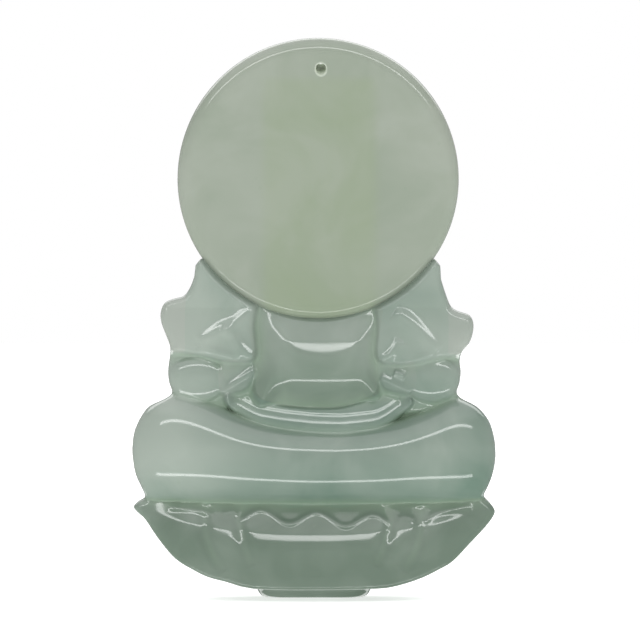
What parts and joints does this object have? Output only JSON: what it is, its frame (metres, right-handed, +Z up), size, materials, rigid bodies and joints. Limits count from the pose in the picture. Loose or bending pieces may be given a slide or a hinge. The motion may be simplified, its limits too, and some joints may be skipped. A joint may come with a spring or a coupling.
{
  "type": "carved jade figurine pendant",
  "caption": "Small carved jade plaque of a draped figure seated cross-legged on a lotus base, with a round halo disc and a slanting stringing hole.",
  "frame": {"origin": "centre of the foot's flat underside", "axes": "+Z up to the top of the halo, +X to the figure's left, the figure faces -Y and its plain back faces +Y"},
  "size_m": [0.039, 0.01, 0.06],
  "materials": {
    "halo_jade": "polished",
    "robe_jade": "polished",
    "deep_jade": "polished",
    "pale_jade": "polished",
    "lotus_jade": "polished"
  },
  "bodies": {
    "root": {"halo_disc": "halo_jade", "body_core": "deep_jade", "foot_pad": "lotus_jade", "back_panel": "deep_jade", "back_sash": "robe_jade", "seat_roll": "robe_jade", "left_sleeve": "robe_jade", "right_sleeve": "robe_jade", "left_scarf_end": "pale_jade", "right_scarf_end": "pale_jade", "left_elbow_fold": "robe_jade", "right_elbow_fold": "robe_jade", "left_cuff_fold": "pale_jade", "right_cuff_fold": "pale_jade", "petal_back_center": "lotus_jade", "petal_back_inner_left": "lotus_jade", "petal_back_inner_right": "lotus_jade", "petal_back_left": "lotus_jade", "petal_back_right": "lotus_jade", "head": "pale_jade", "hair_cap": "deep_jade", "hair_knot": "deep_jade", "left_ear": "pale_jade", "right_ear": "pale_jade", "neck": "pale_jade", "robe_collar": "robe_jade", "robe_chest": "robe_jade", "left_upper_arm": "robe_jade", "right_upper_arm": "robe_jade", "left_forearm": "robe_jade", "right_forearm": "robe_jade", "left_hand": "pale_jade", "right_hand": "pale_jade", "left_leg": "robe_jade", "right_leg": "robe_jade", "robe_fall": "pale_jade", "petal_front_center": "lotus_jade", "petal_front_inner_left": "lotus_jade", "petal_front_inner_right": "lotus_jade", "petal_front_left": "lotus_jade", "petal_front_right": "lotus_jade"}
  },
  "joints": []
}
